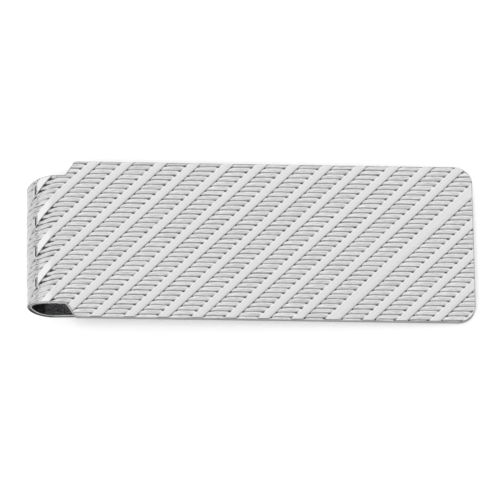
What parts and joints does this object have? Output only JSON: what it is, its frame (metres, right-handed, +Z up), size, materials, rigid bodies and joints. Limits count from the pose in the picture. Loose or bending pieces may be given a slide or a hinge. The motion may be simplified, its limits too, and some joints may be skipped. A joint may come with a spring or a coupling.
{
  "type": "money clip",
  "caption": "Folded spring-metal money clip: a wide patterned front plate, an open loop and a crested back leg that grips folded notes.",
  "frame": {"origin": "bottom centre of the box, on the surface that the clip lies on", "axes": "+X from the loop towards the plate's free end, +Y across the clip, +Z up from the leg to the plate"},
  "size_m": [0.0508, 0.019, 0.0066],
  "materials": {
    "patterned_metal": "bright silver-coloured plating, satin bands over finely ribbed ground"
  },
  "bodies": {
    "leg": {"lower_bend": "patterned_metal", "back_leg": "patterned_metal", "grip_crest": "patterned_metal", "entry_lip": "patterned_metal"},
    "plate": {"front_plate": "patterned_metal", "upper_bend": "patterned_metal"}
  },
  "joints": [
    {"name": "clip_opening", "type": "hinge", "parent": "leg", "child": "plate", "pos_m": [-0.02513, 0, 0.0033], "axis": [0, -1, 0], "range_deg": [0, 8], "stiffness_Nm_per_rad": 2.3}
  ]
}
